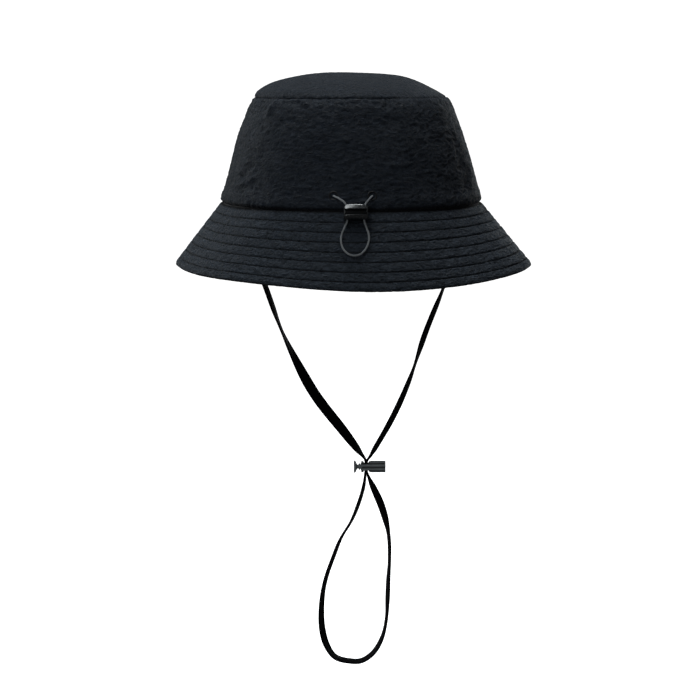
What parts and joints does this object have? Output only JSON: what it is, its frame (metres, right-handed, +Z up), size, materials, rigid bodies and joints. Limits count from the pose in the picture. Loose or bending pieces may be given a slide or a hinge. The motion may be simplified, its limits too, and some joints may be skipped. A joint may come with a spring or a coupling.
{
  "type": "bucket hat",
  "caption": "Soft bucket hat with a quilted sloping brim, a rear drawcord with a push-button lock, and a flat chin strap with a sliding barrel lock.",
  "frame": {"origin": "centre of the head opening, in the plane of the seam between the crown and the brim", "axes": "+Z up the crown, +Y towards the wearer's face, +X to the wearer's right"},
  "size_m": [0.2424, 0.2478, 0.4107],
  "materials": {
    "shell_fabric": "crinkled nylon, low sheen",
    "interlining": "non-woven stiffener",
    "lining_fabric": "plain woven lining",
    "sweatband_fabric": "matt twill",
    "eyelet_metal": "black lacquered, glossy",
    "elastic_cord": "braided elastic, slight shine",
    "lock_plastic": "moulded, satin",
    "button_plastic": "moulded, satin",
    "strap_webbing": "narrow woven tape, matt",
    "spring_steel": "bright wire"
  },
  "bodies": {
    "hat": {"crown_tip": "shell_fabric", "crown_side_back": "shell_fabric", "crown_side_front": "shell_fabric", "brim_top_back": "shell_fabric", "brim_top_front": "shell_fabric", "brim_under_back": "shell_fabric", "brim_under_front": "shell_fabric", "brim_interlining": "interlining", "lining_side": "lining_fabric", "lining_tip": "lining_fabric", "sweatband": "sweatband_fabric", "eyelet_left": "eyelet_metal", "eyelet_right": "eyelet_metal", "eyelet_washer_left": "eyelet_metal", "eyelet_washer_right": "eyelet_metal", "drawcord_in_casing": "elastic_cord", "drawcord_loop": "elastic_cord", "chin_strap_left": "strap_webbing", "chin_strap_right": "strap_webbing", "chin_strap_loop": "strap_webbing"},
    "drawcord_lock": {"drawcord_lock_body": "lock_plastic", "drawcord_lock_spring": "spring_steel"},
    "drawcord_button": {"drawcord_lock_button": "button_plastic"},
    "chin_lock": {"chin_lock_body": "lock_plastic", "chin_lock_spring": "spring_steel"},
    "chin_plunger": {"chin_lock_plunger": "lock_plastic"}
  },
  "joints": [
    {"name": "drawcord_lock_slide", "type": "slide", "parent": "hat", "child": "drawcord_lock", "axis": [0, -0.4305, -0.9026], "range_m": [-0.003, 0.015], "deforming": ["drawcord_loop"]},
    {"name": "drawcord_button_press", "type": "slide", "parent": "drawcord_lock", "child": "drawcord_button", "axis": [0, 0.9026, -0.4305], "range_m": [0, 0.0015], "stiffness_N_per_m": 900, "deforming": ["drawcord_lock_spring"]},
    {"name": "chin_lock_slide", "type": "slide", "parent": "hat", "child": "chin_lock", "axis": [0, 0, 1], "range_m": [-0.09, 0.1], "deforming": ["chin_strap_left", "chin_strap_right", "chin_strap_loop"]},
    {"name": "chin_plunger_press", "type": "slide", "parent": "chin_lock", "child": "chin_plunger", "axis": [1, 0, 0], "range_m": [0, 0.0025], "stiffness_N_per_m": 900, "deforming": ["chin_lock_spring"]}
  ]
}
